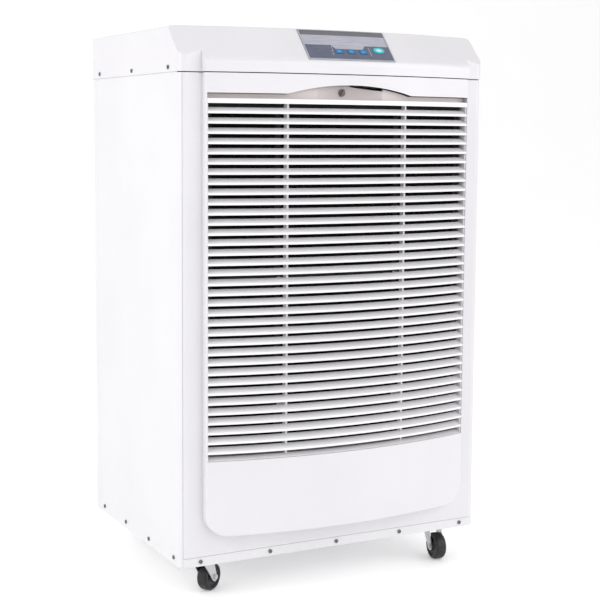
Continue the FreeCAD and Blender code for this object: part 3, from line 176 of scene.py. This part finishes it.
# ---------------------------------------------------------------- materials
def painted(name, colour, roughness, grain=900, grain_depth=0.00003, coat=0.25, wear=0.35):
    """Satin enamel: fine orange peel, slow colour drift, faint smears, and dulled edges where it is worn."""
    material, tree, shader, place = new_material(name)
    drift = noise(tree, place, 5, 3)
    darker = tuple(c * 0.965 for c in colour)
    body = mix_colour(tree, ramp(tree, drift, [(0.35, 0.0), (0.65, 1.0)]), darker, colour)
    if wear:
        dull = tuple(c * 0.86 for c in colour)
        body = mix_colour(tree, math_node(tree, "MULTIPLY", edge_wear(tree, place), wear), body, dull)
    tree.links.new(body, shader.inputs["Base Color"])
    smears = noise(tree, place, 22, 2, 0.5, (1, 1, 0.35))
    link_roughness(tree, shader, smears, [(0.3, roughness - 0.02), (0.7, roughness + 0.02)])
    shader.inputs["Coat Weight"].default_value = coat
    shader.inputs["Coat Roughness"].default_value = 0.2
    bump(tree, shader, noise(tree, place, grain, 2), grain_depth)
    return material


def metal(name, colour, roughness, stretch=(1, 1, 40), scale=60, tarnish=0.8):
    """Bare or plated metal with drawn streaks and patchy tarnish."""
    material, tree, shader, place = new_material(name)
    patches = ramp(tree, noise(tree, place, 35, 5), [(0.35, 0.0), (0.7, 1.0)])
    dark = tuple(c * tarnish for c in colour)
    tree.links.new(mix_colour(tree, patches, colour, dark), shader.inputs["Base Color"])
    shader.inputs["Metallic"].default_value = 1.0
    streaks = noise(tree, place, scale, 4, 0.6, stretch)
    link_roughness(tree, shader, streaks, [(0.25, roughness * 0.7), (0.75, roughness * 1.3)])
    bump(tree, shader, streaks, 0.00004, 0.6)
    return material


def moulded(name, colour, roughness):
    """Moulded plastic or rubber with a stippled grain and faint shade changes."""
    material, tree, shader, place = new_material(name)
    patches = ramp(tree, noise(tree, place, 14, 4), [(0.3, 0.0), (0.7, 1.0)])
    dark = tuple(c * 0.85 for c in colour)
    tree.links.new(mix_colour(tree, patches, colour, dark), shader.inputs["Base Color"])
    scuffs = noise(tree, place, 90, 6, 0.65)
    link_roughness(tree, shader, scuffs, [(0.3, roughness - 0.08), (0.7, roughness + 0.1)])
    bump(tree, shader, noise(tree, place, 1400, 2), 0.00005)
    return material


def tyre(name):
    """Hard black wheel with patches of dust, a fine ripple and scuffs."""
    material, tree, shader, place = new_material(name)
    dust = ramp(tree, noise(tree, place, 120, 6, 0.7), [(0.42, 0.0), (0.68, 1.0)])
    colour = mix_colour(tree, dust, (0.004, 0.004, 0.0045), (0.016, 0.0155, 0.016))
    tree.links.new(colour, shader.inputs["Base Color"])
    link_roughness(tree, shader, noise(tree, place, 240, 4), [(0.3, 0.34), (0.7, 0.6)])
    bump(tree, shader, noise(tree, place, 700, 3), 0.00012)
    return material


def zinc_spangle(name):
    """Galvanised sheet: crystal cells of slightly different greys."""
    material, tree, shader, place = new_material(name)
    cells = tree.nodes.new("ShaderNodeTexVoronoi")
    cells.inputs["Scale"].default_value = 90
    tree.links.new(place, cells.inputs["Vector"])
    greys = ramp(tree, cells.outputs["Color"], [(0.1, (0.52, 0.53, 0.55)), (0.9, (0.7, 0.71, 0.72))])
    tree.links.new(greys, shader.inputs["Base Color"])
    shader.inputs["Metallic"].default_value = 1.0
    link_roughness(tree, shader, cells.outputs["Color"], [(0.1, 0.34), (0.9, 0.5)])
    bump(tree, shader, cells.outputs["Distance"], 0.00003)
    return material


def fins(name):
    """Pressed aluminium fins with fine ripples across their height."""
    material, tree, shader, place = new_material(name)
    ripples = tree.nodes.new("ShaderNodeTexWave")
    ripples.bands_direction = "Z"
    ripples.inputs["Scale"].default_value = 55
    ripples.inputs["Distortion"].default_value = 0.6
    tree.links.new(place, ripples.inputs["Vector"])
    greys = ramp(tree, ripples.outputs["Fac"], [(0.2, (0.6, 0.62, 0.64)), (0.8, (0.76, 0.78, 0.8))])
    tree.links.new(greys, shader.inputs["Base Color"])
    shader.inputs["Metallic"].default_value = 1.0
    link_roughness(tree, shader, noise(tree, place, 80), [(0.3, 0.3), (0.7, 0.46)])
    bump(tree, shader, ripples.outputs["Fac"], 0.0002)
    return material


def grille_moulding(name):
    """White louvres, lighter than the cabinet's moulding as painted light, with a darker warm colour as
    painted shade in the recess and finger scoop above the lip.
    """
    material, tree, shader, place = new_material(name)
    axes = tree.nodes.new("ShaderNodeSeparateXYZ")
    tree.links.new(place, axes.inputs[0])
    # Painted shade: the recess and finger scoop above the lip get a darker, warmer white.
    recess_shade_mask = between(tree, axes.outputs["Z"], GRILLE_LIP_TOP - 0.2 * MM, GRILLE_LIP_TOP + 0.6 * MM)
    patches = ramp(tree, noise(tree, place, 6, 3), [(0.35, 0.0), (0.65, 1.0)])
    # Painted light: the louvres' white is lighter than the cabinet's white moulding, to brighten the lips
    # and slopes.
    white = mix_colour(tree, patches, (0.835, 0.82, 0.84), (0.86, 0.848, 0.865))
    painted_recess_shade = mix_colour(tree, patches, (0.69, 0.625, 0.62), (0.72, 0.655, 0.65))
    tree.links.new(mix_colour(tree, recess_shade_mask, white, painted_recess_shade), shader.inputs["Base Color"])
    link_roughness(tree, shader, noise(tree, place, 40, 4), [(0.3, 0.3), (0.7, 0.42)])
    bump(tree, shader, noise(tree, place, 1300, 2), 0.00002)
    return material


def net(name):
    """Woven black filter net, darkened to near zero as painted shade behind the louvres; the open cells
    between the threads are darker still, as painted shade seen through the holes.
    """
    material, tree, shader, place = new_material(name)
    threads = []
    for direction in ("X", "Z"):
        wave = tree.nodes.new("ShaderNodeTexWave")
        wave.bands_direction = direction
        wave.inputs["Scale"].default_value = 130
        tree.links.new(place, wave.inputs["Vector"])
        threads.append(wave.outputs["Fac"])
    weave = math_node(tree, "MAXIMUM", *threads)
    # Painted shade: near-black colour, darkest in the open cells between the threads.
    tree.links.new(ramp(tree, weave, [(0.5, 0.001), (0.95, 0.006)]), shader.inputs["Base Color"])
    link_roughness(tree, shader, noise(tree, place, 30), [(0.3, 0.75), (0.7, 0.95)])
    shader.inputs["Specular IOR Level"].default_value = 0.08
    bump(tree, shader, weave, 0.0004)
    return material


MATERIALS = {
    "white_enamel": painted("white_enamel", (0.725, 0.718, 0.735), 0.34, wear=0),
    "white_moulding": painted("white_moulding", (0.715, 0.702, 0.728), 0.3, 1300, 0.00002,
                              coat=0.35, wear=0),
    "galvanised_sheet": zinc_spangle("galvanised_sheet"),
    "zinc_plate": metal("zinc_plate", (0.66, 0.665, 0.68), 0.3),
    "knob_plastic": moulded("knob_plastic", (0.2, 0.17, 0.16), 0.5),
    "wheel_black": tyre("wheel_black"),
    "bezel_silver": metal("bezel_silver", (0.6, 0.61, 0.66), 0.34, (30, 1, 1), 40, 0.88),
    "board_green": moulded("board_green", (0.01, 0.09, 0.035), 0.4),
    "filter_plastic": moulded("filter_plastic", (0.004, 0.004, 0.0045), 0.8),
    "filter_fabric": net("filter_fabric"),
    "fin_aluminium": fins("fin_aluminium"),
    "copper_tube": metal("copper_tube", (0.72, 0.36, 0.22), 0.28, (1, 1, 1), 50, 0.6),
    "tray_plastic": moulded("tray_plastic", (0.62, 0.62, 0.6), 0.5),
    "hose_rubber": moulded("hose_rubber", (0.28, 0.29, 0.3), 0.45),
    "compressor_black": painted("compressor_black", (0.012, 0.012, 0.013), 0.28, 600, 0.00006,
                                coat=0.4, wear=0.6),
    "mount_rubber": moulded("mount_rubber", (0.012, 0.012, 0.012), 0.75),
    "motor_grey": painted("motor_grey", (0.09, 0.095, 0.105), 0.4, 700, 0.00005),
    "shaft_steel": metal("shaft_steel", (0.58, 0.58, 0.6), 0.22, (1, 1, 1), 90),
    "fan_plastic": moulded("fan_plastic", (0.02, 0.02, 0.022), 0.45),
    "capacitor_can": metal("capacitor_can", (0.66, 0.67, 0.69), 0.32),
    "gland_nylon": moulded("gland_nylon", (0.014, 0.014, 0.015), 0.5),
}


# ---------------------------------------------------------------- control panel materials
# The panel lies on a cone about an upright axis, so a height up its slope is a height in Z alone.
PANEL_RISE = PANEL_HIGH[2] - PANEL_LOW[2]


def panel_height(share):
    """Z of a line across the panel, as a share of the panel's rise."""
    return PANEL_LOW[2] + PANEL_RISE * share


def fascia_material():
    """Membrane: dark strip along the top, printed lavender-grey band with pale streaks, printed dark glossy
    window.
    """
    material, tree, shader, place = new_material("fascia_slate")
    axes = tree.nodes.new("ShaderNodeSeparateXYZ")
    tree.links.new(place, axes.inputs[0])
    across, height = axes.outputs["X"], axes.outputs["Z"]
    # The window's top edge steps down between two slanted shoulders.
    left = between(tree, across, -33 * MM, -27 * MM)
    right = between(tree, across, 34 * MM, 27 * MM)
    middle = math_node(tree, "MULTIPLY", left, right)
    step = math_node(tree, "MULTIPLY", middle, PANEL_RISE * 0.13)
    edge = math_node(tree, "ADD", height, step)
    in_band = between(tree, edge, panel_height(0.505), panel_height(0.512))
    in_strip = between(tree, height, panel_height(0.845), panel_height(0.852))
    streaks = noise(tree, place, 26, 4, 0.6, (1, 10, 14))
    streak_mask = ramp(tree, streaks, [(0.35, 0.0), (0.7, 1.0)])
    band = mix_colour(tree, streak_mask, (0.34, 0.345, 0.41), (0.45, 0.45, 0.52))
    window = mix_colour(tree, noise(tree, place, 40), (0.06, 0.075, 0.12), (0.12, 0.13, 0.19))
    strip = mix_colour(tree, noise(tree, place, 60), (0.1, 0.1, 0.115), (0.14, 0.14, 0.16))
    membrane_colours = mix_colour(tree, in_strip, mix_colour(tree, in_band, window, band), strip)
    tree.links.new(membrane_colours, shader.inputs["Base Color"])
    gloss = math_node(tree, "MULTIPLY", in_band, 0.18)
    smears = ramp(tree, noise(tree, place, 70), [(0.3, 0.12), (0.7, 0.22)])
    tree.links.new(math_node(tree, "ADD", gloss, smears), shader.inputs["Roughness"])
    shader.inputs["Coat Weight"].default_value = 0.5
    shader.inputs["Coat Roughness"].default_value = 0.08
    bump(tree, shader, noise(tree, place, 900, 2), 0.00002)
    return material


def key_with_painted_glow(name, rim, painted_glow, centre, size):
    """Key with a pale middle that falls away to a coloured rim: painted highlight and glow, fed into
    emission though the key is no lamp.
    """
    material, tree, shader, place = new_material(name)
    mapping = tree.nodes.new("ShaderNodeMapping")
    mapping.vector_type = "POINT"
    mapping.inputs["Location"].default_value = [-c / s for c, s in zip(centre, size)]
    mapping.inputs["Scale"].default_value = [1 / s for s in size]
    tree.links.new(place, mapping.inputs["Vector"])
    distance = tree.nodes.new("ShaderNodeVectorMath")
    distance.operation = "LENGTH"
    tree.links.new(mapping.outputs["Vector"], distance.inputs[0])
    wobble = math_node(tree, "MULTIPLY", noise(tree, place, 500, 3), 0.25)
    reach = math_node(tree, "ADD", distance.outputs["Value"], wobble)
    # Painted highlight and glow: pale middle fading to the coloured rim, used as both base colour and
    # emission.
    colour = ramp(tree, reach, [(0.25, painted_glow), (0.95, rim)])
    tree.links.new(colour, shader.inputs["Base Color"])
    tree.links.new(colour, shader.inputs["Emission Color"])
    shader.inputs["Emission Strength"].default_value = 0.35
    link_roughness(tree, shader, noise(tree, place, 300), [(0.3, 0.22), (0.7, 0.34)])
    bump(tree, shader, noise(tree, place, 1500, 2), 0.00002)
    return material


# A CAD node whose look differs from its slot's usual one.
NODE_MATERIALS = {
    "intake_grille": grille_moulding("grille_moulding"),
    "panel_screws": metal("screw_zinc", (0.2, 0.19, 0.2), 0.45),
}

# slot: (rim, painted glowing middle)
KEY_COLOURS = {
    "key_blue": ((0.02, 0.1, 0.24), (0.08, 0.42, 0.68)),
    "power_teal": ((0.02, 0.36, 0.38), (0.72, 0.7, 0.9)),
}


def dress_cad_nodes():
    """Give every CAD node its record slot's material; the keys get one each, centred on themselves."""
    slots = {entry["node"]: entry["material_slot"] for entry in frame["record"]["subparts"]}
    MATERIALS["fascia_slate"] = fascia_material()
    for node, piece in frame["nodes"].items():
        if slots[node] in ("key_blue", "power_teal"):
            low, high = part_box(node)
            centre = (Vector(low) + Vector(high)) / 2
            size = (Vector(high) - Vector(low)) / 2
            rim, painted_glow = KEY_COLOURS[slots[node]]
            material = key_with_painted_glow(slots[node] + "_" + node, rim, painted_glow, centre, size)
        else:
            material = NODE_MATERIALS.get(node) or MATERIALS[slots[node]]
        piece.data.materials.clear()
        piece.data.materials.append(material)


dress_cad_nodes()


# ---------------------------------------------------------------- added pieces
def new_piece(name, mesh, material, body="cabinet"):
    """Turn a bmesh into an object that rides a CAD body."""
    data = bpy.data.meshes.new(name)
    bmesh.ops.recalc_face_normals(mesh, faces=mesh.faces)
    mesh.to_mesh(data)
    mesh.free()
    data.materials.append(material)
    piece = bpy.data.objects.new(name, data)
    bpy.context.scene.collection.objects.link(piece)
    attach(piece, body)


# ---------------------------------------------------------------- printed marks on the control panel
# The panel's own slope foreshortens a length up it to this share of itself in Z.
SLOPE_SHARE = 0.74
MARK_COUNT, MARK_HALF, MARK_SQUASH = 6, 0.75 * MM, 0.7
# name: (first mark in the column, colour); the two kinds alternate
MARK_KINDS = {"pale": (0, (0.75, 0.75, 0.82)), "pink": (1, (0.5, 0.12, 0.42))}
PANEL_SURFACE = BVHTree.FromObject(frame["nodes"]["panel_fascia"], bpy.context.evaluated_depsgraph_get())


def panel_point(x, share, lift):
    """Point over the fascia at X and a share of its rise, lifted along the surface normal."""
    ahead = Vector((x, PANEL_LOW[1] - 0.1, panel_height(share)))
    place, normal, _, _ = PANEL_SURFACE.ray_cast(ahead, Vector((0, 1, 0)))
    return place + normal * lift


def add_patch(mesh, outline, lift=0.1 * MM, depth=0.15 * MM):
    """Thin closed slab over the fascia inside an outline of (X, share) points."""
    top = [mesh.verts.new(panel_point(x, share, lift)) for x, share in outline]
    bottom = [mesh.verts.new(panel_point(x, share, lift - depth)) for x, share in outline]
    mesh.faces.new(top)
    mesh.faces.new(bottom[::-1])
    for i, corner in enumerate(top):
        j = (i + 1) % len(top)
        mesh.faces.new((corner, bottom[i], bottom[j], top[j]))


def rectangle(x, share, half_width, half_share):
    """Corners of a rectangle about a point of the panel, as (X, share) points."""
    return [(x - half_width, share - half_share), (x + half_width, share - half_share),
            (x + half_width, share + half_share), (x - half_width, share + half_share)]


def panel_marks():
    """Column of small indicator marks beside the left key, leaning with the window's shoulder."""
    for name, (first, colour) in MARK_KINDS.items():
        mesh = bmesh.new()
        for i in range(first, MARK_COUNT, 2):
            share = 0.44 - 0.3 * i / (MARK_COUNT - 1)
            x = -33 * MM - 3 * MM * i / (MARK_COUNT - 1)
            add_patch(mesh, rectangle(x, share, MARK_HALF, MARK_HALF / PANEL_RISE * MARK_SQUASH))
        new_piece("panel_marks_" + name, mesh, moulded("mark_" + name, colour, 0.3))


def panel_divider():
    """Thin pale line between the keys and the power button."""
    mesh = bmesh.new()
    add_patch(mesh, [(40.2 * MM, 0.16), (41.0 * MM, 0.16), (40.0 * MM, 0.44), (39.2 * MM, 0.44)])
    new_piece("panel_divider", mesh, moulded("divider_pale", (0.5, 0.5, 0.56), 0.3))


def panel_emblem():
    """Faint plain square ring with a dot, left of the keys."""
    x, share = -61 * MM, 0.31
    half, line, dot = 6 * MM, 0.8 * MM, 2.2 * MM
    rise = half / PANEL_RISE * SLOPE_SHARE
    rise_line = line / PANEL_RISE * SLOPE_SHARE
    mesh = bmesh.new()
    for side in (-1, 1):
        add_patch(mesh, rectangle(x + side * (half - line), share, line / 2, rise))
        add_patch(mesh, rectangle(x, share + side * (rise - rise_line), half - 1.6 * line, rise_line / 2))
    add_patch(mesh, rectangle(x, share, dot, dot / PANEL_RISE * SLOPE_SHARE))
    new_piece("panel_emblem", mesh, moulded("emblem_grey", (0.13, 0.14, 0.17), 0.35))


panel_marks()
panel_divider()
panel_emblem()


# ---------------------------------------------------------------- strips in the seam under the cap
SEAM_PLAY = 0.05 * MM      # left open above and below a strip
SHIELD_STEPS = 40
CABINET_FRONT = SHIELD_CROWN + SHIELD_RISE


def front_outline(inset):
    """Plan of the cabinet's front with its bowed shield, moved inward by inset, from left to right."""
    x, front = CABINET_SIDE - inset, CABINET_FRONT + inset
    shield = SHIELD_HALF_WIDTH - inset
    axis, radius = SHIELD_CROWN + SHIELD_RADIUS, SHIELD_RADIUS - inset
    points = [(-x, front + CORNER_RADIUS), (CORNER_BEND - x, front + CORNER_BEND),
              (CORNER_RADIUS - x, front), (-shield, front)]
    for i in range(SHIELD_STEPS + 1):
        across = shield * (2 * i / SHIELD_STEPS - 1)
        points.append((across, axis - math.sqrt(radius * radius - across * across)))
    points += [(shield, front), (x - CORNER_RADIUS, front),
               (x - CORNER_BEND, front + CORNER_BEND), (x, front + CORNER_RADIUS)]
    return points


def side_outline(inset):
    """The rest of the plan, moved inward by inset: right side, rear and left side."""
    x, rear = CABINET_SIDE - inset, CABINET_REAR - inset
    start = CABINET_FRONT + CORNER_RADIUS + 0.5 * MM
    return [(x, start), (x, rear), (-x, rear), (-x, start)]


def seam_strip(name, outline, outer, inner, material):
    """Closed strip between the cabinet and its cap, from one inset of an outline to another."""
    mesh = bmesh.new()
    rings = []
    for inset in (outer, inner):
        for height in (SEAM_LOW + SEAM_PLAY, SEAM_HIGH - SEAM_PLAY):
            rings.append([mesh.verts.new((x, y, height)) for x, y in outline(inset)])
    outer_low, outer_high, inner_low, inner_high = rings
    around = (outer_low, outer_high, inner_high, inner_low)
    for k, first in enumerate(around):
        second = around[(k + 1) % 4]
        for i in range(len(first) - 1):
            mesh.faces.new((first[i], first[i + 1], second[i + 1], second[i]))
    mesh.faces.new([ring[0] for ring in around])
    mesh.faces.new([ring[-1] for ring in around[::-1]])
    new_piece(name, mesh, material)


# Black strip in the front seam under the cap: painted shade standing in for the dark gap.
seam_strip("seam_shade_strip", front_outline, 0.9 * MM, 2.3 * MM,
           moulded("seam_shade_black", (0.004, 0.004, 0.004), 0.85))
seam_strip("seam_filler", side_outline, 0.4 * MM, 1.1 * MM,
           MATERIALS["white_enamel"])


# ---------------------------------------------------------------- stage
def stage_floor():
    """Pale seamless floor that rises into a backdrop far behind the object."""
    mesh = bmesh.new()
    steps = 24
    profile = [(FLOOR_FRONT, 0.0)]
    for i in range(steps + 1):
        turn = math.radians(90 * i / steps)
        profile.append((BACKDROP_START + BACKDROP_RADIUS * math.sin(turn),
                        BACKDROP_RADIUS * (1 - math.cos(turn))))
    profile.append((BACKDROP_START + BACKDROP_RADIUS, BACKDROP_TOP))
    rows = [[mesh.verts.new((x, y, z)) for y, z in profile]
            for x in (-FLOOR_HALF_WIDTH, FLOOR_HALF_WIDTH)]
    for i in range(len(profile) - 1):
        mesh.faces.new((rows[0][i], rows[1][i], rows[1][i + 1], rows[0][i + 1]))
    data = bpy.data.meshes.new("floor")
    mesh.to_mesh(data)
    mesh.free()
    for face in data.polygons:
        face.use_smooth = True
    floor = bpy.data.objects.new("floor", data)
    bpy.context.scene.collection.objects.link(floor)
    material, tree, shader, place = new_material("floor_white")
    pale = ramp(tree, noise(tree, place, 3), [(0.3, 0.93), (0.7, 0.95)])
    tree.links.new(pale, shader.inputs["Base Color"])
    shader.inputs["Roughness"].default_value = 0.6
    shader.inputs["Emission Color"].default_value = (1, 1, 1, 1)
    shader.inputs["Emission Strength"].default_value = FLOOR_GLOW
    data.materials.append(material)


def area_light(name, outward, power):
    """Square light out along a direction from the target, facing it."""
    light = bpy.data.lights.new(name, "AREA")
    light.shape = "RECTANGLE"
    light.size = light.size_y = LIGHT_SIZE
    light.energy = power
    holder = bpy.data.objects.new(name, light)
    holder.location = LIGHT_TARGET + outward * LIGHT_DISTANCE
    holder.rotation_euler = (-outward).to_track_quat("-Z", "Y").to_euler()
    bpy.context.scene.collection.objects.link(holder)


def stage_light():
    """White world and four soft lights around the object."""
    world = bpy.data.worlds.new("studio")
    bpy.context.scene.world = world
    world.use_nodes = True
    background = world.node_tree.nodes["Background"]
    background.inputs["Color"].default_value = (1.0, 1.0, 1.0, 1)
    background.inputs["Strength"].default_value = WORLD_GLOW
    for name, (heading, height, power) in LIGHTS.items():
        turn, lift = math.radians(heading), math.radians(height)
        level = math.cos(lift)
        outward = Vector((math.sin(turn) * level, -math.cos(turn) * level, math.sin(lift)))
        area_light(name, outward, power)


def stage_camera():
    """Camera ahead of the front and to its left, looking slightly down."""
    data = bpy.data.cameras.new("camera")
    data.lens = CAMERA_LENS
    data.sensor_width = CAMERA_SENSOR
    data.shift_x, data.shift_y = CAMERA_SHIFT
    camera = bpy.data.objects.new("camera", data)
    camera.location = CAMERA_PLACE
    turn = Euler((math.pi / 2 - CAMERA_PITCH, 0, -CAMERA_HEADING)).to_matrix()
    camera.rotation_euler = (turn @ Matrix.Rotation(CAMERA_ROLL, 3, "Z")).to_euler()
    bpy.context.scene.collection.objects.link(camera)
    bpy.context.scene.camera = camera


stage_floor()
stage_light()
stage_camera()
bpy.context.scene.view_settings.view_transform = "Standard"
